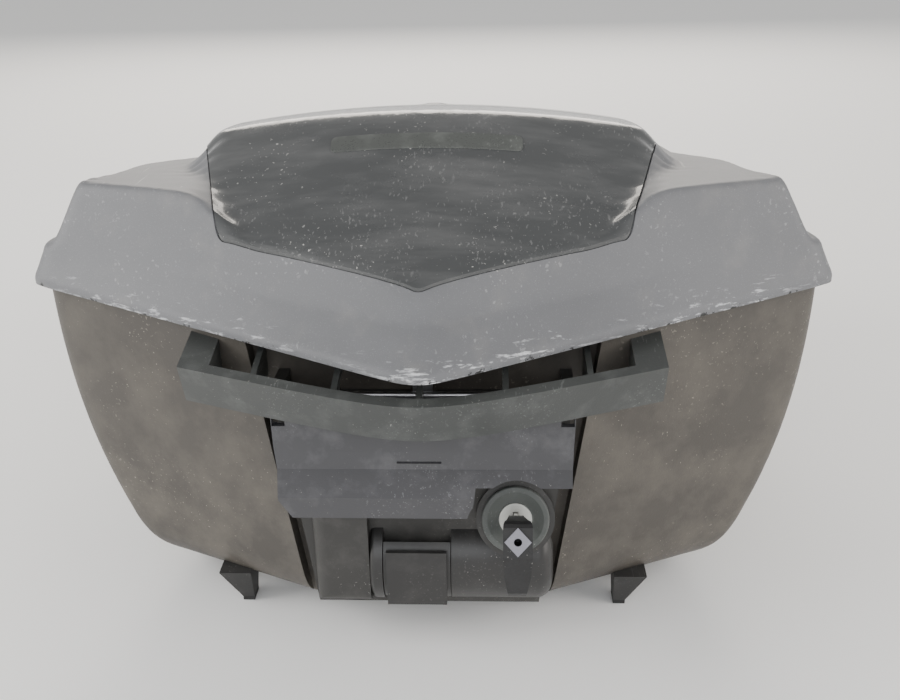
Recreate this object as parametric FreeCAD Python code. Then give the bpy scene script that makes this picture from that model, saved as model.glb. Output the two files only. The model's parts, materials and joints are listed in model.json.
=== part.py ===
"""Motorcycle top case: hinged lid, latch flap with hook, key lock and carrier release.

Millimetres, +Z up, +X across the case, the lock side faces -Y, the hinges are on +Y.
The feet stand on z = 0 and x = 0, y = 0 is the middle of the bounding box.
"""
import FreeCAD, Part
import math
import os
from FreeCAD import Vector

# ---- outline of the lid, seen from above ---------------------------------
LID_WIDTH = 440.0          # across the two front corners
V_ANGLE = 24.2             # how far each half of the lock side is swept back
V_DISTANCE = 190.7         # centre to each swept side
FLANK_ANGLE = 13.0         # the flanks close in towards the hinges
FLANK_DISTANCE = 189.0
HINGE_DISTANCE = 214.0     # centre to the hinge side
CORNER_SHARPNESS = 46.0
CORNER_CROWDING = 7.0
RING_POINTS = 132

# ---- heights -------------------------------------------------------------
FLOOR_Z = 12.0             # underside of the lower shell
RIM_Z = 194.0              # parting line at flanks and hinge side
RIM_DIP_Y = -114.0         # the parting line dips from here to the nose
RIM_DIP_SLOPE = 0.163
UPSTAND = 4.0              # lower shell edge above the parting line
LIP = 3.5                  # upright band along the lid edge
SKIRT_HEIGHT = 22.0
SHOULDER_Z = 249.0
CROWN_Z = 277.5
CREST_Y = -65.0            # ridge between sloping panel and crown
CREST_HALF = 118.0
PANEL_SLOPE = 0.545
CROWN_FALL = 0.19
SHOULDER_FALL = 0.20
SHOULDER_LOW = 219.0

# ---- walls and gaps ------------------------------------------------------
WALL = 3.0
LID_ROOF = 4.0
OVERHANG = 6.0             # lid edge beyond the lower shell
CLEARANCE = 0.3
RUNNING = 0.05             # radial gap of pins and the lock plug

# ---- panel and badge -----------------------------------------------------
PANEL_PROUD = 1.2
PANEL_SEAT = 1.6
PANEL_GAP = 0.5
BADGE_HALF = 52.0

# ---- latch side ----------------------------------------------------------
CHANNEL_Y = -152.0         # flat wall behind handle, flap and lock
CHANNEL_LOW, CHANNEL_TOP = 66.0, 91.0   # half widths at z 0 and z 185
FLANGE = 3.0
HOUSING_T = 16.5
FLAP_AXIS = (-173.0, 157.0)      # y, z
HOOK_AXIS = (-171.0, 143.0)
PIN_R = 2.0
HOOK_HALF = 5.0
STRIKER = (-176.5, 188.0, 2.5)   # y, z, radius of the bar
NOSE_GAP = 0.8                   # hook nose stands this far behind the bar

# ---- handle --------------------------------------------------------------
HANDLE_NOSE_TOP = -210.0
HANDLE_NOSE_LOW = -202.0
HANDLE_SWEEP = math.tan(math.radians(18.6))
HANDLE_HALF = 122.0
HANDLE_T = 7.0
HANDLE_TOP_DROP = 9.5      # below the parting line
HANDLE_HEIGHT = 24.0

# ---- lock ----------------------------------------------------------------
LOCK_X, LOCK_Y, LOCK_Z = 48.0, -179.0, 86.0
LOCK_TILT = 20.0
BEZEL_R = 18.0
PLUG_R = 8.7
LOCK_BODY_R = 11.0
KEY_T, KEY_H = 2.0, 7.4
KEY_OUT = 43.5

# ---- barrel row ----------------------------------------------------------
BARREL_Y, BARREL_Z, BARREL_R = -154.0, 50.0, 27.0
BUTTON_X0, BUTTON_X1 = -23.6, 13.0
COLLAR_X0 = -31.0
BARREL_END = 69.0
BUTTON_TRAVEL = 5.0

# ---- hinges --------------------------------------------------------------
HINGE_X = 84.0
HINGE_HALF = 30.0
KNUCKLE_R = 5.0
HINGE_Y = HINGE_DISTANCE + 3.0
HINGE_Z = 188.0
LEAF_T = 2.2

# ---- base and feet -------------------------------------------------------
BASE_Z = 4.5
FEET = ((115.0, -134.0), (84.0, 150.0))   # lock side, hinge side
PAD_T = 2.5


# ---------------------------------------------------------------------------
def rim_height(y):
    return RIM_Z - RIM_DIP_SLOPE * max(0.0, RIM_DIP_Y - y)


def soft_ramp(value, width):
    if value > 30.0 * width:
        return value
    return width * math.log1p(math.exp(max(-30.0, value / width)))


def soft_min(a, b, width):
    return a - soft_ramp(a - b, width)


def soft_max(a, b, width):
    return b + soft_ramp(a - b, width)


SIDE_ANGLES = (-90.0 - V_ANGLE, -90.0 + V_ANGLE, FLANK_ANGLE, 180.0 - FLANK_ANGLE, 90.0)
SIDE_DISTANCES = (V_DISTANCE, V_DISTANCE, FLANK_DISTANCE, FLANK_DISTANCE, HINGE_DISTANCE)


def side_shares(angle, distances):
    """How much each straight side counts in this direction, and the radius."""
    parts = []
    for side, distance in zip(SIDE_ANGLES, distances):
        reach = math.cos(angle - math.radians(side)) / distance
        parts.append(max(reach, 0.0) ** CORNER_SHARPNESS)
    total = sum(parts)
    return [part / total for part in parts], total ** (-1.0 / CORNER_SHARPNESS)


def raw_point(angle, distances):
    radius = side_shares(angle, distances)[1]
    return radius * math.cos(angle), radius * math.sin(angle)


WIDTH_FACTOR = 0.5 * LID_WIDTH / max(
    raw_point(math.radians(step * 0.25), SIDE_DISTANCES)[0] for step in range(-240, 240))


def outline_point(angle, distances):
    x, y = raw_point(angle, distances)
    return x * WIDTH_FACTOR, y


def inset_distances(inset):
    return [distance - inset for distance in SIDE_DISTANCES]


def ring_angles():
    """Directions of the ring points, crowded where the outline bends."""
    steps = [math.radians(90.0 + 0.25 * step) for step in range(1440)]
    needs = []
    for angle in steps:
        soft = [share ** 0.25 for share in side_shares(angle, SIDE_DISTANCES)[0]]
        needs.append(1.0 + CORNER_CROWDING * (1.0 - max(soft) / sum(soft)))
    whole = sum(needs)
    angles, passed = [], 0.0
    for angle, need in zip(steps, needs):
        if passed >= len(angles) * whole / RING_POINTS - 1e-6:
            angles.append(angle)
        passed += need
    return angles[:RING_POINTS]


RING_ANGLES = ring_angles()


def ring_knots():
    """Share of the way round at each ring point, from 0 to 1."""
    corners = [outline_point(angle, SIDE_DISTANCES) for angle in RING_ANGLES]
    knots = [0.0]
    for here, there in zip(corners, corners[1:] + corners[:1]):
        knots.append(knots[-1] + math.dist(here, there))
    return [knot / knots[-1] for knot in knots]


RING_KNOTS = ring_knots()


def ring_wire(point_at):
    curve = Part.BSplineCurve()
    curve.interpolate(Points=[Vector(*point_at(angle)) for angle in RING_ANGLES],
                      PeriodicFlag=True, Parameters=RING_KNOTS)
    return Part.Wire([curve.toShape()])


def loft(point_functions):
    """Closed solid through rings that all share one set of ring knots."""
    rings = []
    for point_at in point_functions:
        curve = Part.BSplineCurve()
        curve.interpolate(Points=[Vector(*point_at(angle)) for angle in RING_ANGLES],
                          PeriodicFlag=True, Parameters=RING_KNOTS)
        rings.append(curve)
    count = rings[0].NbPoles
    stations = [0.0]
    for low, high in zip(rings, rings[1:]):
        gap = sum((low.getPole(k) - high.getPole(k)).Length for k in range(1, count + 1, 4))
        stations.append(stations[-1] + gap)
    stations = [station / stations[-1] for station in stations]
    columns = []
    for k in range(1, count + 1):
        curve = Part.BSplineCurve()
        curve.interpolate(Points=[ring.getPole(k) for ring in rings], Parameters=stations)
        columns.append(curve)
    surface = Part.BSplineSurface()
    surface.buildFromPolesMultsKnots(
        [column.getPoles() for column in columns],
        rings[0].getMultiplicities(), columns[0].getMultiplicities(),
        rings[0].getKnots(), columns[0].getKnots(), True, False, 3, 3)
    skin = surface.toShape()
    caps = [Part.Face(Part.Wire([ring.toShape()])) for ring in (rings[0], rings[-1])]
    shell = Part.makeShell([skin] + caps)
    shell.sewShape()
    solid = Part.makeSolid(shell)
    if solid.Volume < 0:
        solid.reverse()
    return solid


def flat_ring(distances, z):
    return lambda angle: outline_point(angle, distances) + (z,)


def band(inset_out, inset_in, z0, z1):
    """Upright ring between two insets of the lid outline."""
    solids = []
    for inset in (inset_out, inset_in):
        wire = ring_wire(flat_ring(inset_distances(inset), z0))
        solids.append(Part.Face(wire).extrude(Vector(0, 0, z1 - z0)))
    return solids[0].cut(solids[1])


def prism_x(points_yz, x0, x1):
    """Outline in the YZ plane, pushed along X."""
    wire = Part.makePolygon([Vector(x0, y, z) for y, z in points_yz + points_yz[:1]])
    return Part.Face(wire).extrude(Vector(x1 - x0, 0, 0))


def prism_y(points_xz, y0, y1):
    wire = Part.makePolygon([Vector(x, y0, z) for x, z in points_xz + points_xz[:1]])
    return Part.Face(wire).extrude(Vector(0, y1 - y0, 0))


def prism_z(points_xy, z0, z1):
    wire = Part.makePolygon([Vector(x, y, z0) for x, y in points_xy + points_xy[:1]])
    return Part.Face(wire).extrude(Vector(0, 0, z1 - z0))


def box(x0, x1, y0, y1, z0, z1):
    return Part.makeBox(x1 - x0, y1 - y0, z1 - z0, Vector(x0, y0, z0))


def cyl_x(radius, x0, x1, y, z):
    return Part.makeCylinder(radius, x1 - x0, Vector(x0, y, z), Vector(1, 0, 0))


def above_rim(offset):
    return prism_x([(-300, rim_height(-300) + offset), (RIM_DIP_Y, RIM_Z + offset),
                    (300, RIM_Z + offset), (300, 400), (-300, 400)], -300, 300)


def below_rim(offset):
    return prism_x([(-300, rim_height(-300) + offset), (RIM_DIP_Y, RIM_Z + offset),
                    (300, RIM_Z + offset), (300, -100), (-300, -100)], -300, 300)


def round_edges(solid, radius, pick):
    edges = [edge for edge in solid.Edges if pick(edge)]
    return solid.makeFillet(radius, edges)


def along(edge, direction):
    tangent = edge.Vertexes[-1].Point - edge.Vertexes[0].Point
    return tangent.Length > 1e-6 and tangent.normalize().cross(Vector(*direction)).Length < 1e-3


def mirrored(shape):
    return shape.mirror(Vector(0, 0, 0), Vector(1, 0, 0))


def group(shapes):
    return Part.makeCompound(shapes)


os.makedirs("parts", exist_ok=True)


def save(name, shape):
    shape = shape.removeSplitter() if shape.ShapeType == "Solid" else shape
    shape.exportStep("parts/%s.step" % name)
    box_ = shape.BoundBox
    print("%-18s %d solid(s)  %.0f..%.0f  %.0f..%.0f  %.0f..%.0f  valid %s" % (
        name, len(shape.Solids), box_.XMin, box_.XMax, box_.YMin, box_.YMax,
        box_.ZMin, box_.ZMax, shape.isValid()))


# ---- lid surface ---------------------------------------------------------
SLOPES = (2.5, 2.5, 1.45, 1.45, 2.6)          # above the ledge, per side
NOSE_EASE = 0.2                               # the slope is gentler at the nose
VALLEYS = (20.0, 20.0, 7.0, 7.0, 6.0)         # how far in the skirt reaches, per side
LEDGES = (0.5, 0.5, 9.0, 9.0, 3.0)            # flat strip above the skirt, per side


def nose_share(angle):
    y = outline_point(angle, SIDE_DISTANCES)[1]
    return min(1.0, max(0.0, (RIM_DIP_Y - y) / 92.0)) ** 0.7


def skirt_reach(angle):
    shares = side_shares(angle, SIDE_DISTANCES)[0]
    reach = sum(share * valley for share, valley in zip(shares, VALLEYS))
    return 7.0 + (reach - 7.0) * (nose_share(angle) if math.sin(angle) < 0 else 1.0)


def flank_height(angle, inset):
    """Height of skirt and slope at this distance in from the lid edge."""
    base = rim_height(outline_point(angle, SIDE_DISTANCES)[1]) + LIP
    reach = skirt_reach(angle)
    if inset <= reach:
        return base + (SKIRT_HEIGHT - LIP) * inset / reach
    shares = side_shares(angle, SIDE_DISTANCES)[0]
    slope = sum(share * value for share, value in zip(shares, SLOPES))
    slope -= NOSE_EASE * nose_share(angle) ** 3
    ledge = sum(share * value for share, value in zip(shares, LEDGES))
    climb = 0.15 * (inset - reach) + (slope - 0.15) * soft_ramp(inset - reach - ledge, 0.8)
    return base + SKIRT_HEIGHT - LIP + climb


def roof_height(x, y):
    crown = CROWN_Z - CROWN_FALL * soft_ramp(y - CREST_Y - 20.0, 12.0)
    crown -= 10.0 * (x / CREST_HALF) ** 2
    panel = 217.0 + PANEL_SLOPE * (y + 175.0) - 12.0 * (x / CREST_HALF) ** 2
    dome = soft_min(crown, panel, 1.2)
    dome -= 1.1 * soft_ramp(abs(x) - CREST_HALF - 6.0, 4.0)
    shoulder = SHOULDER_Z - SHOULDER_FALL * soft_ramp(y + 60.0, 10.0)
    shoulder = soft_max(shoulder, SHOULDER_LOW, 3.0)
    shoulder -= 0.9 * soft_ramp(CREST_HALF - 2.0 - abs(x), 5.0)
    return soft_max(dome, shoulder, 1.8)


def lid_loft(inset0, flank_drop, roof_drop):
    def surface_ring(inset, scale=1.0):
        distances = [d * scale for d in inset_distances(inset0 + inset)]

        def point(angle):
            x, y = outline_point(angle, distances)
            flank = flank_height(angle, inset) - flank_drop + (1.0 - scale) * 500.0
            return x, y, soft_min(flank, roof_height(x, y) - roof_drop, 2.0)
        return point

    def reach_ring(part):
        def point(angle):
            inset = skirt_reach(angle) * part
            x, y = outline_point(angle, inset_distances(inset0 + inset))
            flank = flank_height(angle, inset) - flank_drop
            return x, y, soft_min(flank, roof_height(x, y) - roof_drop, 2.0)
        return point

    def lip_ring(below):
        def point(angle):
            x, y = outline_point(angle, inset_distances(inset0))
            return x, y, flank_height(angle, 0.0) - flank_drop - below
        return point

    def beyond(step):
        def point(angle):
            inset = skirt_reach(angle) + step
            x, y = outline_point(angle, inset_distances(inset0 + inset))
            flank = flank_height(angle, inset) - flank_drop
            return x, y, soft_min(flank, roof_height(x, y) - roof_drop, 2.0)
        return point

    top = roof_height(0.0, 0.0) - roof_drop
    rings = [flat_ring(inset_distances(inset0), 150.0)]
    rings += [lip_ring(below) for below in (12.0, 4.0, 1.0)]
    rings += [reach_ring(part) for part in (0.03, 0.25, 0.5, 0.75, 0.93)]
    rings += [beyond(step) for step in (1.5, 5, 9, 13, 17, 21, 26, 31, 37, 43, 50, 57, 64)]
    last = 85.0
    rings += [surface_ring(last, scale) for scale in
              (1.0, 0.93, 0.86, 0.79, 0.72, 0.65, 0.58, 0.51, 0.44, 0.37, 0.3, 0.22, 0.14)]
    centre = [d * 0.04 for d in inset_distances(inset0 + last)]
    rings.append(flat_ring(centre, top))
    return loft(rings)


# ---- lower shell surface -------------------------------------------------
def lower_distances(z, level0=FLOOR_Z):
    up = (z - level0) / (RIM_Z - level0)
    drop = max(0.0, 1.0 - up) if up < 1.0 else 0.0
    insets = []
    for taper, power, radius in ((9.0, 1.5, 28.0), (9.0, 1.5, 28.0), (47.0, 2.6, 6.0),
                                 (47.0, 2.6, 6.0), (8.0, 2.0, 12.0)):
        edge = max(0.0, radius - (z - level0))
        insets.append(OVERHANG + taper * drop ** power
                      + radius - math.sqrt(radius * radius - edge * edge))
    return [d - inset for d, inset in zip(SIDE_DISTANCES, insets)]


def lower_loft(level0, thickness):
    steps = (0, 0.7, 1.8, 3.4, 5.5, 8, 11, 15, 21, 29, 40, 54, 70, 90, 112, 136, 162, 186, 200)
    rings = []
    for step in steps:
        distances = [d - thickness for d in lower_distances(level0 + step, level0)]
        rings.append(flat_ring(distances, level0 + step))
    return loft(rings)


# ---- lock axes -----------------------------------------------------------
TILT = math.radians(LOCK_TILT)
LOCK = Vector(LOCK_X, LOCK_Y, LOCK_Z)
OUT = Vector(0, -math.cos(TILT), math.sin(TILT))
RISE = Vector(0, math.sin(TILT), math.cos(TILT))


def on_lock(out, rise=0.0, side=0.0):
    return LOCK + OUT * out + RISE * rise + Vector(side, 0, 0)


def lock_cyl(radius, out0, out1):
    return Part.makeCylinder(radius, out1 - out0, on_lock(out0), OUT)


def lock_plate(points, half):
    """Outline in the plane of lock axis and rise, made 2*half thick along X."""
    corners = [on_lock(out, rise, -half) for out, rise in points]
    return Part.Face(Part.makePolygon(corners + corners[:1])).extrude(Vector(2 * half, 0, 0))


# ---- screws --------------------------------------------------------------
def screw(foot, axis, length, head_r=3.0, head_h=1.6, shank_r=1.5):
    """Pan-head screw; foot lies under the head, axis points out through the head."""
    axis = Vector(*axis)
    foot = Vector(*foot)
    head = Part.makeCylinder(head_r, head_h, foot, axis)
    socket = Part.makeCylinder(head_r * 0.42, head_h * 0.6, foot + axis * head_h * 0.5, axis)
    shank = Part.makeCylinder(shank_r, length, foot - axis * length, axis)
    return head.fuse(shank).removeSplitter().cut(socket)


def screw_hole(foot, axis, length, radius=1.6):
    axis = Vector(*axis)
    return Part.makeCylinder(radius, length + 1.0, Vector(*foot) - axis * (length + 0.8), axis)


hinge_screw_spots = []
for side in (-1, 1):
    for dx in (-18.0, 18.0):
        hinge_screw_spots.append(("lower", (side * HINGE_X + dx,
                                            HINGE_DISTANCE - OVERHANG + RUNNING + LEAF_T, 171.0)))
        hinge_screw_spots.append(("upper", (side * HINGE_X + dx,
                                            HINGE_DISTANCE + RUNNING + LEAF_T, 208.0)))
striker_screw_spots = [(side * 19.0, -167.0, 199.0) for side in (-1, 1)]
base_screw_spots = [(x, y, BASE_Z) for x in (-74.0, 74.0) for y in (-112.0, 0.0, 120.0)]

# ---- lower shell ---------------------------------------------------------
outer = lower_loft(FLOOR_Z, 0.0)
inner = lower_loft(FLOOR_Z + WALL, WALL - 0.3)


def channel(grow, gap):
    """Recess of the lock side; grow moves its walls outwards."""
    front = CHANNEL_Y + grow
    depth = prism_x([(front, -50), (front, rim_height(front) - gap),
                     (-300, rim_height(-300) - gap), (-300, -50)], -300, 300)
    low, top = CHANNEL_LOW + grow, CHANNEL_TOP + grow
    reach = (top - low) / 185.0 * 60.0
    return depth.common(prism_y([(-low + reach, -60), (low - reach, -60), (top + reach, 245),
                                 (-top - reach, 245)], -300, 0))


lower_shell = outer.cut(channel(0.0, FLANGE))
lower_shell = lower_shell.cut(inner.cut(channel(WALL, 0.0)))
lower_shell = lower_shell.cut(above_rim(UPSTAND))
lower_shell = lower_shell.cut(box(-9, 9, -180, CHANNEL_Y - 2, 150, 230))
for dx in (-12.0, 2.0):
    lower_shell = lower_shell.cut(Part.makeCylinder(
        2.6, 12, Vector(dx, CHANNEL_Y - 6, BARREL_Z), Vector(0, 1, 0)))
for kind, spot in hinge_screw_spots:
    if kind == "lower":
        lower_shell = lower_shell.cut(screw_hole(spot, (0, 1, 0), 9))
for spot in base_screw_spots:
    lower_shell = lower_shell.cut(screw_hole(spot, (0, 0, -1), 12))
lower_shell = lower_shell.cut(box(-6, 6, -146, -126, 0, 20))

# ---- floor mat -----------------------------------------------------------
mat_level = FLOOR_Z + WALL + 0.05
mat_distances = [d - WALL - 2.0 for d in lower_distances(FLOOR_Z)]
floor_mat = Part.Face(ring_wire(flat_ring(mat_distances, mat_level))).extrude(Vector(0, 0, 2.0))
floor_mat = floor_mat.cut(box(-250, 250, -300, CHANNEL_Y + WALL + 2, 0, 50))
floor_mat = floor_mat.cut(box(-8, 8, -154, -124, 0, 50))
for spot in base_screw_spots:
    floor_mat = floor_mat.cut(Part.makeCylinder(4.0, 10, Vector(spot[0], spot[1], mat_level - 2)))

# ---- seal on the edge of the lower shell ---------------------------------
seal = band(OVERHANG + 0.2, OVERHANG + 2.8, 150, 240)
rim_seal = seal.common(above_rim(UPSTAND)).common(below_rim(UPSTAND + 2.2))

# ---- carry handle --------------------------------------------------------
def handle_y(x, nose):
    soften = 28.0
    return nose + HANDLE_SWEEP * (math.sqrt(x * x + soften * soften) - soften)


def handle_wire(nose_front, nose_back, z):
    xs = [HANDLE_HALF * (k / 12.0 - 1.0) for k in range(25)]
    edges = []
    curves = []
    for nose in (nose_front, nose_back):
        curve = Part.BSplineCurve()
        curve.interpolate([Vector(x, handle_y(x, nose), z) for x in xs])
        curves.append(curve)
    front, back = (curve.toShape() for curve in curves)
    edges = [front, Part.LineSegment(front.Vertexes[-1].Point, back.Vertexes[-1].Point).toShape(),
             back, Part.LineSegment(back.Vertexes[0].Point, front.Vertexes[0].Point).toShape()]
    return Part.Wire(Part.__sortEdges__(edges))


def handle_slab(top_drop, low_drop):
    """Layer that follows the dip of the parting line."""
    slope = 0.21
    y0, y1 = -240.0, -120.0
    apex = rim_height(HANDLE_NOSE_TOP)

    def height(y, drop):
        return apex + slope * (y - HANDLE_NOSE_TOP) - drop
    return prism_x([(y0, height(y0, low_drop)), (y1, height(y1, low_drop)),
                    (y1, height(y1, top_drop)), (y0, height(y0, top_drop))], -300, 300)


lean = (HANDLE_NOSE_LOW - HANDLE_NOSE_TOP) / HANDLE_HEIGHT
zl, zh = 130.0, 200.0
nose_at_low = HANDLE_NOSE_TOP + lean * (171.0 - zl)
nose_at_high = HANDLE_NOSE_TOP + lean * (171.0 - zh)
bar = Part.makeLoft([handle_wire(nose_at_low, nose_at_low + HANDLE_T, zl),
                     handle_wire(nose_at_high, nose_at_high + HANDLE_T, zh)], True, True)
slab = handle_slab(HANDLE_TOP_DROP, HANDLE_TOP_DROP + HANDLE_HEIGHT)
carry_handle = bar.common(slab)
behind = Part.makeLoft([handle_wire(nose_at_low + HANDLE_T - 0.5, -100, zl),
                        handle_wire(nose_at_high + HANDLE_T - 0.5, -100, zh)], True, True)
rib_slab = handle_slab(HANDLE_TOP_DROP + 4, HANDLE_TOP_DROP + HANDLE_HEIGHT - 3)
fused = []
for x in (-84.0, -42.0, 0.0, 42.0, 84.0):
    rib = box(x - 1.5, x + 1.5, -230, CHANNEL_Y - 0.02, 120, 200).common(behind).common(rib_slab)
    fused.append(rib)
for side in (-1, 1):
    x0, x1 = sorted((side * (HANDLE_HALF - 16.0), side * HANDLE_HALF))
    cheek = box(x0, x1, -230, -120, 120, 200).common(behind).common(slab)
    fused.append(cheek)
keep_out = outer.cut(channel(0.0, FLANGE)).fuse(box(-46, 46, -179.5, -150, 120, 168))
keep_out = keep_out.fuse(box(-7.5, 7.5, -184, -150, 120, 215))
for x in (-73.8, 73.8):
    keep_out = keep_out.fuse(box(x - 5, x + 5, -180.5, -150, 140, 163))
carry_handle = carry_handle.multiFuse(fused).cut(keep_out)
front_edges = [edge for edge in carry_handle.Edges
               if edge.Length > 150 and edge.CenterOfMass.y < -188]
try:
    rounded = carry_handle.makeFillet(2.0, front_edges)
    carry_handle = rounded if rounded.isValid() else carry_handle
except Part.OCCError:
    pass
carry_handle = max(carry_handle.Solids, key=lambda solid: solid.Volume)

# ---- latch housing -------------------------------------------------------
wall_y = CHANNEL_Y - 0.02
plate_y = wall_y - HOUSING_T
latch_housing = prism_y([(-77, 150), (77, 150), (62, 24), (-62, 24)], plate_y, wall_y)
boss = lock_cyl(LOCK_BODY_R + 10.0, -18, -3.2)
lugs = [box(x - 3, x + 3, FLAP_AXIS[0] - 5, wall_y, 146, FLAP_AXIS[1] + 5)
        for x in (-73.8, 73.8)]
lugs += [box(x - 2.5, x + 2.5, HOOK_AXIS[0] - 2.9, wall_y, 138, HOOK_AXIS[1] + 4)
         for x in (-10.5, 10.5)]
bearing = cyl_x(BARREL_R - 4.0, COLLAR_X0, BUTTON_X0 - 1.2, BARREL_Y, BARREL_Z)
cheek = round_edges(box(-62, COLLAR_X0 - 0.4, plate_y - 9, plate_y + 4, 28, 92), 8.0,
                    lambda e: e.CenterOfMass.y < plate_y - 8 and e.CenterOfMass.x < -35)
latch_housing = latch_housing.multiFuse([boss, bearing, cheek] + lugs)
latch_housing = latch_housing.cut(box(-100, 100, wall_y, -100, -50, 300))
latch_housing = latch_housing.cut(box(-7.5, 7.5, -185, wall_y + 1, 132, 200))
latch_housing = latch_housing.cut(lock_cyl(LOCK_BODY_R + CLEARANCE, -40, 10))
latch_housing = latch_housing.cut(lock_cyl(21.5, -60, -17.5))
latch_housing = latch_housing.cut(cyl_x(PIN_R, -90, 90, *FLAP_AXIS))
latch_housing = latch_housing.cut(cyl_x(PIN_R, -14, 14, *HOOK_AXIS))
for dx in (-12.0, 2.0):
    latch_housing = latch_housing.cut(Part.makeCylinder(
        2.6, 60, Vector(dx, -200, BARREL_Z), Vector(0, 1, 0)))
housing_spots = [(-62, plate_y, 104), (62, plate_y, 134), (30, plate_y, 134), (-40, plate_y, 134)]
for spot in housing_spots:
    latch_housing = latch_housing.cut(screw_hole(spot, (0, -1, 0), 20))
    lower_shell = lower_shell.cut(screw_hole(spot, (0, -1, 0), 20))
housing_screws = group([screw(spot, (0, -1, 0), 19) for spot in housing_spots])

flap_pin = cyl_x(PIN_R, -76.8, 76.8, *FLAP_AXIS)
hook_pin = cyl_x(PIN_R, -13.0, 13.0, *HOOK_AXIS)

# ---- latch flap ----------------------------------------------------------
FLAP_HALF = 78.5
fy, fz = FLAP_AXIS
flap_side = [(fy - 4.2, fz - 1), (fy - 7.5, 128), (fy - 9.5, 119), (fy - 20, 108),
             (fy - 18.5, 95), (fy - 15.5, 95), (fy - 16.8, 105.5), (fy - 7, 116),
             (fy - 4.5, 126), (fy - 1.2, fz - 8), (fy - 1.2, fz - 1)]
latch_flap = prism_x(flap_side, -FLAP_HALF, FLAP_HALF)
outline = prism_y([(-FLAP_HALF, fz + 10), (FLAP_HALF, fz + 10), (FLAP_HALF - 2, 112),
                   (27, 112), (24, 90), (-65, 90), (-74, 106), (-77, 130)], -220, -150)
latch_flap = latch_flap.common(outline)
cutout = Part.makeCylinder(26.0, 80, Vector(LOCK_X, -150, LOCK_Z + 3), Vector(0, -1, 0))
latch_flap = latch_flap.cut(cutout)
cheeks = []
for x in (-69.0, 69.0):
    cheeks.append(cyl_x(4.1, x - 1.4, x + 1.4, fy, fz))
    cheeks.append(box(x - 1.4, x + 1.4, fy - 4.3, fy, fz - 4.0, fz + 1))
rim_flap = [box(-FLAP_HALF + 1.5, -FLAP_HALF + 3.5, fy - 6, fy - 1, 128, fz - 9)]
latch_flap = latch_flap.multiFuse(cheeks + rim_flap)
latch_flap = latch_flap.cut(cyl_x(PIN_R + RUNNING, -90, 90, fy, fz))
for x in (-73.8, 73.8):
    latch_flap = latch_flap.cut(box(x - 3.4, x + 3.4, fy - 6, fy + 10, 142, fz + 10))
latch_flap = max(latch_flap.Solids, key=lambda solid: solid.Volume)
for half, z in ((16.5, 131.0), (11.5, 122.0)):
    latch_flap = latch_flap.cut(box(-half - 2.0, half - 2.0, fy - 12, fy - 7.4, z, z + 1.2))

# ---- hook ----------------------------------------------------------------
hy, hz = HOOK_AXIS
sy, sz, sr = STRIKER
hook_top = sz + sr + CLEARANCE
nose_y = sy + sr + NOSE_GAP
catch_hook = prism_x([(hy - 3.2, hz - 3), (hy + 3, hz - 3), (hy + 5.5, hz + 8), (hy + 5.5, hook_top + 4),
                      (nose_y + 1.5, hook_top + 4), (nose_y, hook_top + 1.5), (nose_y, hook_top),
                      (hy + 2, hook_top), (hy + 2, hz + 12), (hy - 3.2, hz + 3)],
                     -HOOK_HALF, HOOK_HALF)
catch_hook = catch_hook.fuse(cyl_x(3.4, -HOOK_HALF, HOOK_HALF, hy, hz)).removeSplitter()
catch_hook = catch_hook.cut(cyl_x(PIN_R + RUNNING, -20, 20, hy, hz))

# ---- lock ----------------------------------------------------------------
cone = Part.makeCone(BEZEL_R - 2.5, PLUG_R + 1.0, 2.2, on_lock(0.6), OUT * -1)
lock_bezel = lock_cyl(BEZEL_R, -3.0, 0.4)
lock_bezel = round_edges(lock_bezel, 1.2, lambda e: e.Length > 100
                         and (e.CenterOfMass - on_lock(0.4)).Length < 0.5)
lock_bezel = lock_bezel.cut(cone).cut(lock_cyl(PLUG_R + 0.2, -5, 5))
lock_body = lock_cyl(LOCK_BODY_R, -22, -3.1).cut(lock_cyl(PLUG_R + RUNNING, -30, 5))
lock_nut = lock_cyl(LOCK_BODY_R + 4.0, -21.2, -17.6).cut(lock_cyl(LOCK_BODY_R, -30, 5))
lock_plug = lock_cyl(PLUG_R, -22.3, -1.0)
keyway = lock_plate([(-20, -KEY_H / 2 - 0.35), (3, -KEY_H / 2 - 0.35), (3, KEY_H / 2 + 0.35),
                     (-20, KEY_H / 2 + 0.35)], KEY_T / 2 + 0.35)
lock_plug = lock_plug.cut(keyway)
cam_points = [(-24.4, -20), (-22.35, -20), (-22.35, 8), (-24.4, 8)]
lock_cam = lock_plate(cam_points, 6.0)
lock_cam = round_edges(lock_cam, 5.0, lambda e: along(e, tuple(OUT)))

# ---- key -----------------------------------------------------------------
key_blade = lock_plate([(-18, -KEY_H / 2), (7.9, -KEY_H / 2), (7.9, KEY_H / 2), (-16, KEY_H / 2),
                        (-19, 0.5)], KEY_T / 2)
for k in range(5):
    notch = lock_plate([(-15.0 + 3.6 * k, KEY_H / 2 + 1), (-13.4 + 3.6 * k, KEY_H / 2 - 1.2 - 0.4 * (k % 3)),
                        (-11.8 + 3.6 * k, KEY_H / 2 + 1)], KEY_T)
    key_blade = key_blade.cut(notch)


def bow_section(out, low, high, half):
    corners = [on_lock(out, low, -half), on_lock(out, low, half), on_lock(out, high, half),
               on_lock(out, high, -half)]
    return Part.makePolygon(corners + corners[:1])


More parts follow.
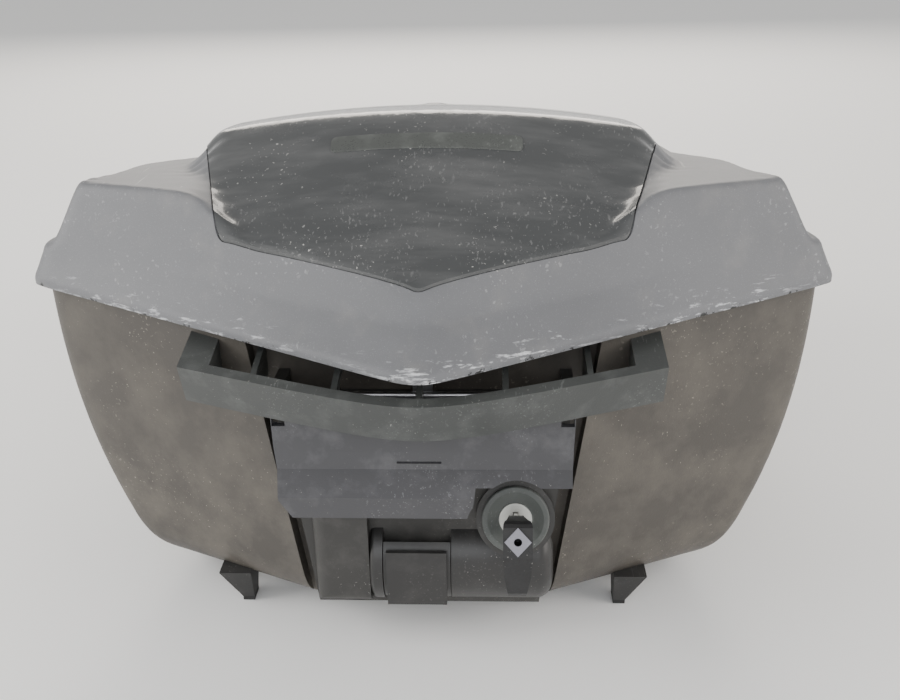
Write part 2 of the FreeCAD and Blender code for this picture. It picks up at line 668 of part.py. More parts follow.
bow_outline = [(8, -6), (8, 4.5), (38, 9), (KEY_OUT - 1.5, 8.5), (KEY_OUT, 7), (KEY_OUT, -8),
               (KEY_OUT - 2, -13), (36, -28), (33, -30), (29.5, -28.5)]
key_bow = lock_plate(bow_outline, 8.0)
taper = [on_lock(4, 0, -3.4), on_lock(30, 0, -5.2), on_lock(43, 0, -7.2), on_lock(50, 0, -7.2),
         on_lock(50, 0, 7.2), on_lock(43, 0, 7.2), on_lock(30, 0, 5.2), on_lock(4, 0, 3.4)]
taper_face = Part.Face(Part.makePolygon(taper + taper[:1]))
key_bow = key_bow.common(taper_face.extrude(RISE * 30).fuse(taper_face.extrude(RISE * -40)))
lower_taper = [on_lock(60, -7, -9), on_lock(0, -7, -9), on_lock(0, -31, -4.2), on_lock(60, -31, -4.2)]
for sign in (-1, 1):
    wedge = [Vector(LOCK_X + sign * abs(p.x - LOCK_X), p.y, p.z) for p in lower_taper]
    far = [Vector(LOCK_X + sign * 20, p.y, p.z) for p in wedge]
    faces = Part.makeLoft([Part.makePolygon(wedge[0:2] + far[1::-1] + wedge[0:1]),
                           Part.makePolygon([wedge[3], wedge[2], far[2], far[3], wedge[3]])],
                          True, True)
    key_bow = key_bow.cut(faces)
key_bow = key_bow.cut(Part.makeCylinder(2.0, 9, on_lock(KEY_OUT - 8, 0), OUT))
key_bow = key_bow.cut(lock_plate([(0, -KEY_H / 2), (8.01, -KEY_H / 2), (8.01, KEY_H / 2),
                                  (0, KEY_H / 2)], KEY_T / 2))
diamond_half = 6.6
diamond = Part.makePolygon([on_lock(KEY_OUT + 0.02, 7.2, 0), on_lock(KEY_OUT + 0.02, 0, diamond_half),
                            on_lock(KEY_OUT + 0.02, -7.2, 0), on_lock(KEY_OUT + 0.02, 0, -diamond_half),
                            on_lock(KEY_OUT + 0.02, 7.2, 0)])
key_badge = Part.Face(diamond).extrude(OUT * 0.8)
key_badge = key_badge.cut(Part.makeCylinder(2.0, 9, on_lock(KEY_OUT - 4, 0), OUT))

# ---- barrel row ----------------------------------------------------------
def barrel(radius, x0, x1, back):
    piece = cyl_x(radius, x0, x1, BARREL_Y, BARREL_Z)
    piece = piece.cut(cyl_x(radius - 3.0, x0 - 1, x1 + 1, BARREL_Y, BARREL_Z))
    wall_l = cyl_x(radius - 0.5, x0, x0 + 2.5, BARREL_Y, BARREL_Z)
    wall_r = cyl_x(radius - 0.5, x1 - 2.5, x1, BARREL_Y, BARREL_Z)
    piece = piece.multiFuse([wall_l, wall_r]).removeSplitter()
    return piece.cut(box(x0 - 5, x1 + 5, back, back + 60, -50, 150))


barrel_collar = cyl_x(BARREL_R + 0.6, COLLAR_X0, BUTTON_X0 - 0.4, BARREL_Y, BARREL_Z)
barrel_collar = barrel_collar.makeFillet(2.6, [barrel_collar.Edges[i] for i in range(
    len(barrel_collar.Edges)) if barrel_collar.Edges[i].Length > 100
    and abs(barrel_collar.Edges[i].CenterOfMass.x - COLLAR_X0) < 0.1])
barrel_collar = barrel_collar.cut(cyl_x(BARREL_R - 4.0 + 0.02, -50, 0, BARREL_Y, BARREL_Z))
barrel_collar = barrel_collar.cut(box(-100, 100, plate_y - 0.02, -100, -50, 150))

release_button = barrel(BARREL_R, BUTTON_X0, BUTTON_X1, plate_y - BUTTON_TRAVEL - 0.6)
bridge = box(BUTTON_X0 + 2, BUTTON_X1 - 2, -183, -180.5, BARREL_Z - 17, BARREL_Z + 17)
stems = [Part.makeCylinder(2.2, 40, Vector(dx, -182, BARREL_Z), Vector(0, 1, 0))
         for dx in (-12.0, 2.0)]
stems = [stem.cut(box(-50, 50, CHANNEL_Y + WALL + 3, 0, 0, 100)) for stem in stems]
release_button = release_button.multiFuse([bridge] + stems)

barrel_cover = cyl_x(BARREL_R, BUTTON_X1 + 0.4, BARREL_END, BARREL_Y, BARREL_Z)
barrel_cover = barrel_cover.makeFillet(9.0, [e for e in barrel_cover.Edges if e.Length > 100
                                             and abs(e.CenterOfMass.x - BARREL_END) < 0.1])
hollow = cyl_x(BARREL_R - 3.0, BUTTON_X1 + 3.4, BARREL_END - 4.0, BARREL_Y, BARREL_Z)
hollow = hollow.makeFillet(6.0, [e for e in hollow.Edges if e.Length > 100
                                 and abs(e.CenterOfMass.x - BARREL_END + 4.0) < 0.1])
barrel_cover = barrel_cover.cut(hollow).cut(box(-100, 100, plate_y - 0.02, -100, -50, 150))
barrel_cover = barrel_cover.cut(lock_cyl(LOCK_BODY_R + 10.0 + 0.05, -40, 10))
barrel_cover = max(barrel_cover.Solids, key=lambda solid: solid.Volume)

# ---- carrier base --------------------------------------------------------
plate = round_edges(box(-88, 88, -124, 135, BASE_Z, BASE_Z + 7.4), 14.0,
                    lambda e: along(e, (0, 0, 1)))
hook_pocket = [box(x - 20, x + 20, 84, 104, 0, BASE_Z + 4.5) for x in (-44.0, 44.0)]
tunnel = box(-11, 11, -140, -70, BASE_Z + 3.0, BASE_Z + 9)
mouth = box(-11, 11, -108, -84, 0, BASE_Z + 9)
base_plate = plate
for tool in hook_pocket + [tunnel, mouth]:
    base_plate = base_plate.cut(tool)
for spot in base_screw_spots:
    base_plate = base_plate.cut(screw_hole(spot, (0, 0, -1), 12))
    base_plate = base_plate.cut(Part.makeCylinder(3.4, 3, Vector(spot[0], spot[1], BASE_Z - 1)))
base_screws = group([screw((x, y, z + 2.0), (0, 0, -1), 9) for x, y, z in base_screw_spots])

base_hook = box(-10, 10, -138, -80, BASE_Z + 3.3, BASE_Z + 7.0)
base_hook = base_hook.fuse(prism_x([(-98, BASE_Z + 3.4), (-92, BASE_Z + 3.4), (-92, BASE_Z - 2),
                                    (-104, BASE_Z - 2), (-104, BASE_Z + 0.5), (-98, BASE_Z + 0.5)],
                                   -8, 8)).removeSplitter()
riser = box(-5, 5, -138, -132, BASE_Z + 6.5, 18.0)
base_hook = base_hook.fuse(riser).removeSplitter()

# ---- feet ----------------------------------------------------------------
def foot(x, y):
    """Tapered leg, upright on its inner side, with a rubber tip."""
    side = math.copysign(1.0, x)
    top = [(-8, -11), (11, -11), (11, 11), (-8, 11)]
    low = [(-7, -5), (0, -5), (0, 6), (-7, 6)]
    wires = []
    for points, z in ((low, PAD_T + 0.02), (top, 24.0)):
        corners = [Vector(x + side * dx, y + dy, z) for dx, dy in points]
        wires.append(Part.makePolygon(corners + corners[:1]))
    tip = [Vector(x + side * dx, y + dy, 0) for dx, dy in low]
    pad = Part.Face(Part.makePolygon(tip + tip[:1])).extrude(Vector(0, 0, PAD_T))
    return Part.makeLoft(wires, True, True), pad


legs, pads = [], []
for foot_x, foot_y in FEET:
    for side in (-1, 1):
        leg, pad = foot(side * foot_x, foot_y)
        legs.append(leg.cut(outer).cut(box(-88.05, 88.05, -124.05, 135.05, 0, 12)))
        pads.append(pad)
legs = [max(leg.Solids, key=lambda solid: solid.Volume) for leg in legs]
feet, foot_pads = group(legs), group(pads)

# ---- lid -----------------------------------------------------------------
lid_outer = lid_loft(0.0, 0.0, 0.0)
lid_inner = lid_loft(WALL, 1.0, LID_ROOF)
rib = band(OVERHANG + 0.2, OVERHANG + 2.8, 160, 260).cut(below_rim(UPSTAND + 2.5))
hinge_pads = [box(side * HINGE_X - HINGE_HALF - 2, side * HINGE_X + HINGE_HALF + 2,
                  HINGE_DISTANCE - 22, HINGE_DISTANCE + 0.01, RIM_Z + 8.0, RIM_Z + 24.0)
              for side in (-1, 1)]
posts = [Part.makeCylinder(4.5, 80, Vector(x, y, z + 3.05)) for x, y, z in striker_screw_spots]
cavity = lid_inner.cut(rib)
for solid in hinge_pads + posts:
    cavity = cavity.cut(solid)
lid_shell = lid_outer
for solid in hinge_pads:
    lid_shell = lid_shell.fuse(solid)
lid_shell = lid_shell.cut(cavity)
lid_shell = lid_shell.cut(below_rim(0.0))
seal_groove = band(OVERHANG - CLEARANCE, OVERHANG + 3.2, 150, 240).common(above_rim(-1.0))
lid_shell = lid_shell.cut(seal_groove.common(below_rim(UPSTAND + 2.2 + CLEARANCE)))

panel_half = [(0, -177), (106, -137), (127, -62), (116, 62), (0, 74)]
panel_points = panel_half + [(-x, y) for x, y in panel_half[-2:0:-1]]


def panel_prism(grow):
    prism = prism_z(panel_points, 180, 320)
    prism = round_edges(prism, 9.0, lambda e: along(e, (0, 0, 1)))
    if grow:
        centre = Vector(0, -50, 0)
        matrix = FreeCAD.Matrix()
        matrix.move(centre * -1)
        matrix.scale(1 + grow / 115.0, 1 + grow / 115.0, 1)
        matrix.move(centre)
        prism = prism.transformGeometry(matrix)
    return prism


def lifted(shape, dz):
    copy = shape.copy()
    copy.translate(Vector(0, 0, dz))
    return copy


recess = panel_prism(PANEL_GAP).cut(lifted(lid_outer, -PANEL_SEAT))
lid_shell = lid_shell.cut(recess)
lid_panel = panel_prism(0).common(lifted(lid_outer, PANEL_PROUD)).cut(
    lifted(lid_outer, -PANEL_SEAT + 0.05))
badge_block = round_edges(box(-BADGE_HALF, BADGE_HALF, -91, -81, 200, 320), 3.0,
                          lambda e: along(e, (0, 0, 1)))
lid_badge = badge_block.common(lifted(lid_outer, PANEL_PROUD + 0.9)).cut(
    lifted(lid_outer, PANEL_PROUD + 0.02))
for kind, spot in hinge_screw_spots:
    if kind == "upper":
        lid_shell = lid_shell.cut(screw_hole(spot, (0, 1, 0), 9))
for spot in striker_screw_spots:
    lid_shell = lid_shell.cut(Part.makeCylinder(1.6, 9.5, Vector(*spot)))

# ---- striker -------------------------------------------------------------
lid_striker = box(-14, 14, -178, -161, 199.0, 202.0).fuse(
    box(-24, 24, -171.5, -161, 199.0, 202.0))
for x in (-12.0, 12.0):
    lid_striker = lid_striker.fuse(box(x - 1.5, x + 1.5, sy - 3.5, sy + 4, sz - 3, 200))
lid_striker = lid_striker.fuse(cyl_x(sr, -12, 12, sy, sz)).removeSplitter()
lid_striker = lid_striker.common(lifted(lid_inner, -CLEARANCE))
for spot in striker_screw_spots:
    lid_striker = lid_striker.cut(screw_hole(spot, (0, 0, -1), 8))
striker_screws = group([screw(spot, (0, 0, -1), 6) for spot in striker_screw_spots])

# ---- hinges --------------------------------------------------------------
lower_leaves, upper_leaves, pins = [], [], []
KNUCKLE_SPLIT = 14.0
leaf_y = HINGE_DISTANCE - OVERHANG + RUNNING
up_y = HINGE_DISTANCE + RUNNING
for side in (-1, 1):
    cx = side * HINGE_X
    leaf = box(cx - HINGE_HALF, cx + HINGE_HALF, leaf_y, leaf_y + LEAF_T, 160, 186)
    up = box(cx - HINGE_HALF, cx + HINGE_HALF, up_y, up_y + LEAF_T, RIM_Z + 4, RIM_Z + 23)
    for x0, x1 in ((cx - HINGE_HALF, cx - KNUCKLE_SPLIT), (cx + KNUCKLE_SPLIT, cx + HINGE_HALF)):
        leaf = leaf.fuse(cyl_x(KNUCKLE_R, x0, x1, HINGE_Y, HINGE_Z))
        leaf = leaf.fuse(box(x0, x1, leaf_y, HINGE_Y, 183, 186))
    middle = (cx - KNUCKLE_SPLIT + CLEARANCE, cx + KNUCKLE_SPLIT - CLEARANCE)
    up = up.fuse(cyl_x(KNUCKLE_R, middle[0], middle[1], HINGE_Y, HINGE_Z))
    up = up.fuse(box(middle[0], middle[1], up_y, up_y + LEAF_T, HINGE_Z, RIM_Z + 5))
    leaf = leaf.removeSplitter().cut(cyl_x(PIN_R, cx - 40, cx + 40, HINGE_Y, HINGE_Z))
    up = up.removeSplitter().cut(cyl_x(PIN_R + RUNNING, cx - 40, cx + 40, HINGE_Y, HINGE_Z))
    gap = box(middle[0] - 2 * CLEARANCE, middle[1] + 2 * CLEARANCE, HINGE_DISTANCE - 2.5,
              HINGE_DISTANCE + 10, 182, 187)
    for kind, spot in hinge_screw_spots:
        if abs(spot[0] - cx) < HINGE_HALF:
            if kind == "lower":
                leaf = leaf.cut(screw_hole(spot, (0, 1, 0), 9))
            else:
                up = up.cut(screw_hole(spot, (0, 1, 0), 9))
    lower_leaves.append(leaf)
    upper_leaves.append(up)
    pin = cyl_x(PIN_R, cx - HINGE_HALF, cx + HINGE_HALF, HINGE_Y, HINGE_Z)
    heads = [cyl_x(3.2, cx - HINGE_HALF - 1.3, cx - HINGE_HALF, HINGE_Y, HINGE_Z),
             cyl_x(3.2, cx + HINGE_HALF, cx + HINGE_HALF + 1.3, HINGE_Y, HINGE_Z)]
    pins.append(pin.multiFuse(heads).removeSplitter())
hinge_screws_lower = group([screw(spot, (0, 1, 0), 9) for kind, spot in hinge_screw_spots
                            if kind == "lower"])
hinge_screws_upper = group([screw(spot, (0, 1, 0), 9) for kind, spot in hinge_screw_spots
                            if kind == "upper"])

# ---- files ---------------------------------------------------------------
for name, shape in (
        ("lower_shell", lower_shell), ("floor_mat", floor_mat), ("rim_seal", rim_seal),
        ("carry_handle", carry_handle), ("latch_housing", latch_housing),
        ("housing_screws", housing_screws), ("flap_pin", flap_pin), ("hook_pin", hook_pin),
        ("latch_flap", latch_flap), ("catch_hook", catch_hook), ("lock_bezel", lock_bezel),
        ("lock_body", lock_body), ("lock_nut", lock_nut), ("lock_plug", lock_plug),
        ("lock_cam", lock_cam), ("key_blade", key_blade), ("key_bow", key_bow),
        ("key_badge", key_badge), ("barrel_collar", barrel_collar),
        ("release_button", release_button), ("barrel_cover", barrel_cover),
        ("base_plate", base_plate), ("base_screws", base_screws), ("base_hook", base_hook),
        ("feet", feet), ("foot_pads", foot_pads), ("lid_shell", lid_shell),
        ("lid_panel", lid_panel), ("lid_badge", lid_badge), ("lid_striker", lid_striker),
        ("striker_screws", striker_screws), ("hinge_lower", group(lower_leaves)),
        ("hinge_upper", group(upper_leaves)), ("hinge_pins", group(pins)),
        ("hinge_screws_lower", hinge_screws_lower), ("hinge_screws_upper", hinge_screws_upper)):
    save(name, shape)
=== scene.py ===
import json
import math

import bpy
from mathutils import Matrix, Vector

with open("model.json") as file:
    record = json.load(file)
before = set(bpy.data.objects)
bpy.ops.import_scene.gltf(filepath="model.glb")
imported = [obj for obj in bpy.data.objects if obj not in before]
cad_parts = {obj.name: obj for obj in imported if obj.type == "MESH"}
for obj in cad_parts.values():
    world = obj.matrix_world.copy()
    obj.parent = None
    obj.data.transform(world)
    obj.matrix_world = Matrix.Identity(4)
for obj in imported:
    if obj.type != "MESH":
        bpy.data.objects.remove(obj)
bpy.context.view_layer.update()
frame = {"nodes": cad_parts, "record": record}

NODES = frame["nodes"]

# ---- shader maths ----------------------------------------------------------


class Value:
    """A socket that takes part in Python arithmetic."""

    def __init__(self, finish, socket):
        self.finish = finish
        self.socket = socket

    def _with(self, operation, first, second=0.0):
        node = self.finish.node("ShaderNodeMath", {"operation": operation}, {0: first, 1: second})
        return Value(self.finish, node.outputs[0])

    def __add__(self, other):
        return self._with("ADD", self, other)

    def __mul__(self, other):
        return self._with("MULTIPLY", self, other)

    def __sub__(self, other):
        return self._with("SUBTRACT", self, other)

    def __rsub__(self, other):
        return self._with("SUBTRACT", other, self)

    def __gt__(self, other):
        return self._with("GREATER_THAN", self, other)

    def __lt__(self, other):
        return self._with("LESS_THAN", self, other)

    def __pow__(self, other):
        return self._with("POWER", self, other)

    def __abs__(self):
        return self._with("ABSOLUTE", self)

    def above(self, start, end):
        """0 below start, 1 above end, a straight ramp between."""
        node = self.finish.node("ShaderNodeMapRange", {"clamp": True},
                                {"Value": self, "From Min": start, "From Max": end})
        return Value(self.finish, node.outputs["Result"])

    __radd__ = __add__
    __rmul__ = __mul__


class Finish:
    """One material with a Principled shader and shorthand for its nodes."""

    def __init__(self, name, **fixed):
        self.material = bpy.data.materials.new(name)
        self.material.use_nodes = True
        self.tree = self.material.node_tree
        self.shader = self.tree.nodes["Principled BSDF"]
        for key, value in fixed.items():
            self.put(self.shader.inputs[key.replace("_", " ").title()
                                        .replace("Ior", "IOR")], value)

    def put(self, socket, value):
        if isinstance(value, Value):
            value = value.socket
        if isinstance(value, bpy.types.NodeSocket):
            self.tree.links.new(value, socket)
        elif isinstance(value, tuple) and len(value) == 3 and socket.type == "RGBA":
            socket.default_value = value + (1.0,)
        else:
            socket.default_value = value

    def node(self, kind, settings=None, inputs=None):
        node = self.tree.nodes.new(kind)
        for key, value in (settings or {}).items():
            setattr(node, key, value)
        for key, value in (inputs or {}).items():
            self.put(node.inputs[key], value)
        return node

    def place(self):
        if not hasattr(self, "_place"):
            self._place = self.node("ShaderNodeTexCoord").outputs["Object"]
        return self._place

    def axis(self, name):
        if not hasattr(self, "_axes"):
            self._axes = self.node("ShaderNodeSeparateXYZ", None, {0: self.place()}).outputs
        return Value(self, self._axes[name])

    def stretched(self, scale, turn=(0.0, 0.0, 0.0)):
        return self.node("ShaderNodeMapping", None,
                         {"Vector": self.place(), "Scale": scale, "Rotation": turn}).outputs[0]

    def noise(self, scale, detail=3.0, rough=0.5, place=None):
        node = self.node("ShaderNodeTexNoise", None,
                         {"Vector": place or self.place(), "Scale": scale, "Detail": detail,
                          "Roughness": rough})
        return Value(self, node.outputs[0])

    def cells(self, scale, place=None, feature="F1", output="Distance", jitter=1.0):
        node = self.node("ShaderNodeTexVoronoi", {"feature": feature},
                         {"Vector": place or self.place(), "Scale": scale, "Randomness": jitter})
        return Value(self, node.outputs[output])

    def specks(self, scale, floor=0.70, patches=30.0):
        """Small irregular crumbs that gather in patches."""
        crumbs = self.noise(scale, 2.0, 0.6).above(floor, floor + 0.03)
        return crumbs * self.noise(patches, 2.0).above(0.46, 0.62)

    def scratches(self, scale, turn, floor=0.66, patches=17.0):
        """Thin marks that run one way and break off."""
        place = self.stretched((1.0, 0.035, 1.0), turn)
        marks = self.noise(scale, 2.0, 0.45, place).above(floor, floor + 0.04)
        return marks * self.noise(patches, 2.0).above(0.50, 0.60)

    def between(self, axis, start, end, soft=0.012):
        """1 inside a stretch of an axis, fading out at both ends."""
        value = self.axis(axis)
        return value.above(start - soft, start + soft) * (
            1.0 - value.above(end - soft, end + soft))

    def mix(self, amount, first, second):
        node = self.node("ShaderNodeMix", {"data_type": "RGBA"})
        self.put(node.inputs["Factor"], amount)
        self.put(node.inputs[6], first)
        self.put(node.inputs[7], second)
        return node.outputs[2]

    def colour(self, socket):
        self.put(self.shader.inputs["Base Color"], socket)

    def rough(self, value):
        self.put(self.shader.inputs["Roughness"], value)

    def bump(self, height, strength, distance=0.001):
        node = self.node("ShaderNodeBump", None,
                         {"Height": height, "Strength": strength, "Distance": distance})
        self.put(self.shader.inputs["Normal"], node.outputs[0])


# ---- finishes --------------------------------------------------------------

# Lower shell tones: dark textured plastic, with painted warm reflected light giving its brown
# cast.
SHELL_DARK_AND_WARM_REFLECTION, SHELL_LIGHT_AND_WARM_REFLECTION = (0.050, 0.045, 0.040), (0.085, 0.077, 0.067)
SHELL_DUST = (0.20, 0.18, 0.15)
LID_DARK, LID_LIGHT = (0.130, 0.133, 0.140), (0.175, 0.178, 0.188)
PANEL_DARK, PANEL_LIGHT = (0.042, 0.045, 0.047), (0.066, 0.069, 0.070)


def both_ways(finish, scale, floor):
    first = finish.scratches(scale, (0.3, 0.5, 0.4), floor)
    return (first + finish.scratches(scale * 1.3, (1.2, 0.2, 1.9), floor)).above(0.0, 1.0)


def rim_height(finish):
    """How far a point lies above the parting line."""
    dip = (-0.114 - finish.axis("Y")).above(0.0, 0.092) * 0.015
    return finish.axis("Z") - (0.194 - dip)


def textured_shell():
    finish = Finish("textured_shell", metallic=0.0, specular_ior_level=0.42)
    grain = finish.noise(950.0, 2.0, 0.6)
    cloud = finish.noise(8.0, 4.0, 0.6)
    film = finish.noise(26.0, 5.0, 0.65)
    worn = both_ways(finish, 420.0, 0.68)
    crumbs = finish.specks(620.0, 0.69, 24.0)
    low = 1.0 - finish.axis("Z").above(0.02, 0.16)
    # Random tone between the two shell colours, whose brown cast is painted warm reflection.
    base = finish.mix(cloud, SHELL_DARK_AND_WARM_REFLECTION, SHELL_LIGHT_AND_WARM_REFLECTION)
    base = finish.mix(film.above(0.42, 0.75) * (low * 0.25 + 0.30), base, SHELL_DUST)
    base = finish.mix(worn * 0.35, base, (0.30, 0.27, 0.23))
    base = finish.mix(crumbs * 0.6, base, (0.42, 0.38, 0.32))
    finish.colour(base)
    finish.rough(0.40 + grain * 0.10 + film * 0.12)
    finish.bump(grain + worn * -0.4, 0.20, 0.0006)
    return finish.material


def lid_paint():
    finish = Finish("lid_paint", metallic=0.0, specular_ior_level=0.5)
    grain = finish.noise(2600.0, 2.0, 0.7)
    cloud = finish.noise(11.0, 4.0, 0.6)
    film = finish.noise(46.0, 4.0, 0.6)
    flake = finish.noise(1900.0, 1.0, 0.5)
    over = rim_height(finish)
    base = finish.mix(cloud, LID_DARK, LID_LIGHT)
    base = finish.mix(flake.above(0.62, 0.74) * 0.16, base, (0.50, 0.51, 0.54))
    base = finish.mix(film.above(0.55, 0.8) * 0.25, base, (0.30, 0.29, 0.27))
    edge = 1.0 - over.above(0.0006, 0.0050)
    knocked = (finish.between("X", -0.195, -0.070) * 0.45 + finish.between("X", -0.012, 0.075)
               + finish.between("X", 0.105, 0.185) * 0.75 + 0.18).above(0.0, 1.0)
    knocked = knocked * finish.axis("Y").above(0.0, -0.06)
    bitten = finish.noise(190.0, 5.0, 0.75)
    chips = (bitten + edge * 0.20 + knocked * 0.06).above(0.80, 0.83) * edge
    band = 1.0 - over.above(0.0030, 0.0170)
    rubbed = finish.noise(150.0, 4.0, 0.7, finish.stretched((0.35, 1.0, 2.6)))
    scuffs = (rubbed + band * 0.14).above(0.69, 0.78) * band * knocked
    scars = both_ways(finish, 380.0, 0.67) * 0.5
    base = finish.mix(scars * 0.6, base, (0.48, 0.48, 0.48))
    base = finish.mix(scuffs * 0.85, base, (0.74, 0.75, 0.77))
    base = finish.mix(chips, base, (0.016, 0.016, 0.016))
    base = finish.mix(finish.specks(560.0, 0.71) * 0.5, base, (0.55, 0.54, 0.51))
    finish.colour(base)
    finish.rough(0.40 + grain * 0.10 + film * 0.10 + scuffs * 0.2)
    finish.bump(grain * 0.35 - chips * 1.2 - scuffs * 0.3, 0.16, 0.0005)
    return finish.material


def panel_gloss():
    finish = Finish("panel_gloss", metallic=0.0, coat_weight=0.55, coat_roughness=0.07)
    cloud = finish.noise(6.0, 4.0, 0.6)
    film = finish.noise(34.0, 5.0, 0.65)
    wiped = finish.noise(30.0, 4.0, 0.6, finish.stretched((0.5, 2.2, 1.0), (0.0, 0.0, 0.5)))
    crumbs = finish.specks(520.0, 0.68, 22.0)
    swirl = both_ways(finish, 520.0, 0.66)
    base = finish.mix(cloud, PANEL_DARK, PANEL_LIGHT)
    base = finish.mix(wiped.above(0.45, 0.75) * 0.30, base, (0.20, 0.20, 0.20))
    base = finish.mix(crumbs * 0.7, base, (0.62, 0.61, 0.58))
    base = finish.mix(swirl * 0.25, base, (0.34, 0.34, 0.34))
    finish.colour(base)
    finish.rough(0.15 + film * 0.16 + crumbs * 0.4 + wiped * 0.06)
    finish.bump(film * 0.15 - swirl, 0.05, 0.0004)
    return finish.material


def satin_plastic(name, dark, light, roughness, grain_scale=1100.0, depth=0.15, wear=0.3):
    finish = Finish(name, metallic=0.0, specular_ior_level=0.5)
    grain = finish.noise(grain_scale, 2.0, 0.6)
    cloud = finish.noise(18.0, 3.0)
    film = finish.noise(70.0, 4.0, 0.65)
    rub = both_ways(finish, 640.0, 0.66)
    base = finish.mix(cloud, dark, light)
    base = finish.mix(film.above(0.5, 0.8) * 0.35, base, tuple(2.6 * part for part in light))
    base = finish.mix(rub * wear, base, tuple(4.0 * part for part in light))
    base = finish.mix(finish.specks(640.0, 0.70) * 0.5, base, (0.44, 0.43, 0.40))
    finish.colour(base)
    finish.rough(roughness + grain * 0.10 + film * 0.08)
    finish.bump(grain + rub * -0.3, depth, 0.0005)
    return finish.material


def metal(name, colour, roughness, streak=(1.0, 1.0, 12.0)):
    finish = Finish(name, metallic=1.0)
    brushed = finish.noise(260.0, 3.0, 0.6, finish.stretched(streak))
    stain = finish.noise(60.0, 3.0)
    base = finish.mix(stain * 0.5, colour, tuple(0.72 * part for part in colour))
    finish.colour(base)
    finish.rough(roughness + brushed * 0.15)
    finish.bump(brushed, 0.08, 0.0003)
    return finish.material


def rubber(name, colour, roughness):
    finish = Finish(name, metallic=0.0, specular_ior_level=0.35)
    grain = finish.noise(700.0, 3.0)
    finish.colour(finish.mix(grain, colour, tuple(1.6 * part for part in colour)))
    finish.rough(roughness + grain * 0.1)
    finish.bump(grain, 0.2, 0.0006)
    return finish.material


FINISHES = {
    "textured_shell": textured_shell(),
    "lid_paint": lid_paint(),
    "panel_gloss": panel_gloss(),
    "mat_rubber": rubber("mat_rubber", (0.02, 0.02, 0.02), 0.7),
    "seal_rubber": rubber("seal_rubber", (0.012, 0.012, 0.012), 0.5),
    "handle_plastic": satin_plastic("handle_plastic", (0.040, 0.043, 0.042),
                                    (0.060, 0.064, 0.062), 0.34),
    "flap_plastic": satin_plastic("flap_plastic", (0.050, 0.050, 0.055), (0.070, 0.070, 0.075),
                                  0.33, 1500.0, 0.2),
    "housing_plastic": satin_plastic("housing_plastic", (0.028, 0.028, 0.027),
                                     (0.045, 0.043, 0.040), 0.42),
    "barrel_plastic": satin_plastic("barrel_plastic", (0.020, 0.020, 0.020),
                                    (0.032, 0.031, 0.030), 0.28, 900.0, 0.06),
    "base_plastic": satin_plastic("base_plastic", (0.022, 0.022, 0.022), (0.035, 0.034, 0.033),
                                  0.5),
    "bezel_plastic": satin_plastic("bezel_plastic", (0.065, 0.072, 0.068),
                                   (0.085, 0.092, 0.088), 0.4),
    "key_plastic": satin_plastic("key_plastic", (0.010, 0.010, 0.010), (0.016, 0.016, 0.017),
                                 0.45, 700.0, 0.5),
    "key_badge": satin_plastic("key_badge", (0.20, 0.20, 0.23), (0.26, 0.26, 0.30), 0.35),
    "badge_plastic": satin_plastic("badge_plastic", (0.06, 0.065, 0.062), (0.08, 0.085, 0.08),
                                   0.2, 900.0, 0.03),
    "screw_steel": metal("screw_steel", (0.50, 0.50, 0.51), 0.3),
    "pin_steel": metal("pin_steel", (0.55, 0.55, 0.56), 0.25, (12.0, 1.0, 1.0)),
    "hook_steel": metal("hook_steel", (0.42, 0.42, 0.43), 0.35),
    "hinge_steel": metal("hinge_steel", (0.20, 0.20, 0.21), 0.4),
    "lock_metal": metal("lock_metal", (0.48, 0.48, 0.46), 0.35),
    "plug_nickel": metal("plug_nickel", (0.66, 0.66, 0.62), 0.3),
}

for part in frame["record"]["subparts"]:
    shown = NODES[part["node"]]
    shown.data.materials.clear()
    shown.data.materials.append(FINISHES[part["material_slot"]])

# ---- smooth shading --------------------------------------------------------

CREASE = math.radians(28.0)
for shown in NODES.values():
    shown.data.polygons.foreach_set("use_smooth", [True] * len(shown.data.polygons))
    modifier = shown.modifiers.new("flat_faces", "WEIGHTED_NORMAL")
    modifier.keep_sharp = True
    shown.data.set_sharp_from_angle(angle=CREASE)

# ---- floor, light and camera -----------------------------------------------


def plain(name, colour, roughness):
    finish = Finish(name, base_color=colour, roughness=roughness, specular_ior_level=0.2)
    return finish.material


bpy.ops.mesh.primitive_plane_add(size=12.0, location=(0.0, 0.0, -0.0005))
floor = bpy.context.object
floor.name = "studio_floor"
floor.data.materials.append(plain("studio_floor", (0.97, 0.97, 0.965), 0.8))


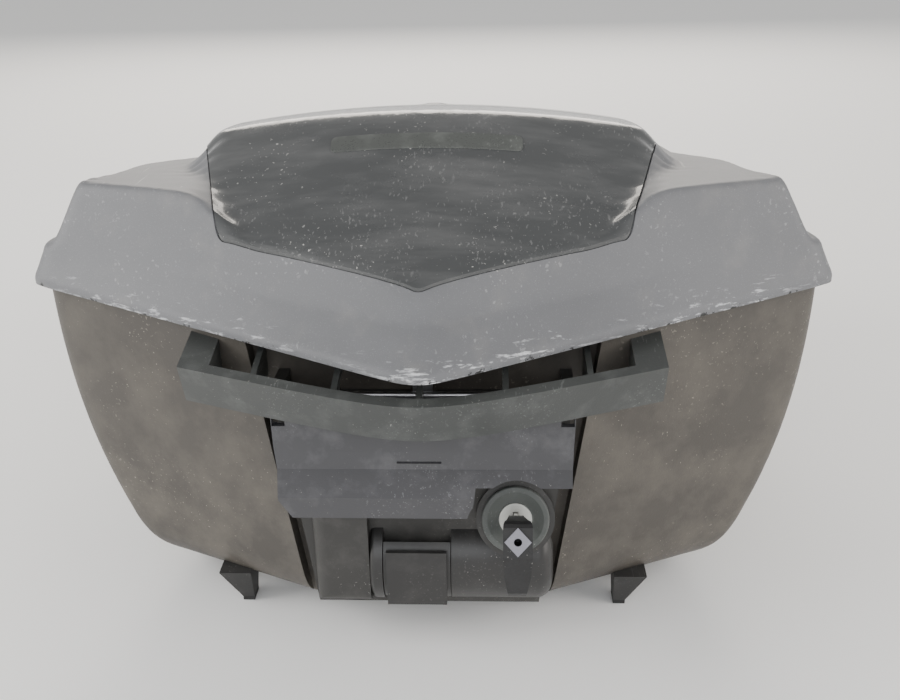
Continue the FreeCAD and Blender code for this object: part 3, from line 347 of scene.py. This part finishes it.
def softbox(name, place, target, size, power, tint=(1.0, 1.0, 1.0)):
    data = bpy.data.lights.new(name, "AREA")
    data.shape = "RECTANGLE"
    data.size, data.size_y = size
    data.energy = power
    data.color = tint
    lamp = bpy.data.objects.new(name, data)
    bpy.context.collection.objects.link(lamp)
    lamp.location = place
    aim = Vector(target) - Vector(place)
    lamp.rotation_euler = aim.to_track_quat("-Z", "Y").to_euler()


softbox("far_side", (-0.1, 2.1, 1.3), (0.0, 0.0, 0.2), (2.4, 1.2), 42.0, (1.0, 0.93, 0.84))
softbox("left_window", (-1.6, -0.5, 0.9), (0.0, 0.0, 0.15), (1.0, 1.2), 22.0, (1.0, 0.98, 0.95))
softbox("right_window", (1.5, -0.6, 0.8), (0.0, 0.0, 0.15), (0.9, 1.1), 13.0, (1.0, 0.95, 0.90))
softbox("front_fill", (0.0, -1.7, 0.9), (0.0, 0.0, 0.1), (1.4, 0.8), 9.0, (0.93, 0.96, 1.0))

world = bpy.data.worlds.new("studio")
world.use_nodes = True
sky = world.node_tree
facing = sky.nodes.new("ShaderNodeTexCoord")
height = sky.nodes.new("ShaderNodeSeparateXYZ")
ramp = sky.nodes.new("ShaderNodeMapRange")
sky.links.new(facing.outputs["Generated"], height.inputs[0])
sky.links.new(height.outputs["Z"], ramp.inputs["Value"])
for label, level in (("From Min", 0.15), ("From Max", 0.95), ("To Min", 1.05), ("To Max", 0.45)):
    ramp.inputs[label].default_value = level
sky.links.new(ramp.outputs["Result"], sky.nodes["Background"].inputs[1])
sky.nodes["Background"].inputs[0].default_value = (1.0, 0.995, 0.985, 1.0)
bpy.context.scene.world = world

YAW, PITCH, ROLL = (math.radians(angle) for angle in (-2.47, 24.51, -1.0))
ahead = Vector((math.sin(YAW) * math.cos(PITCH), math.cos(YAW) * math.cos(PITCH),
                -math.sin(PITCH)))
level = Vector((math.cos(YAW), -math.sin(YAW), 0.0))
upright = level.cross(ahead)
across = level * math.cos(ROLL) + upright * math.sin(ROLL)
upward = upright * math.cos(ROLL) - level * math.sin(ROLL)
lens = bpy.data.cameras.new("camera")
lens.lens = 40.0
lens.sensor_width = 36.0
camera = bpy.data.objects.new("camera", lens)
bpy.context.collection.objects.link(camera)
turn = Matrix((across, upward, -ahead)).transposed()
camera.matrix_world = Matrix.Translation(Vector((0.034, -0.624, 0.388))) @ turn.to_4x4()
bpy.context.scene.camera = camera
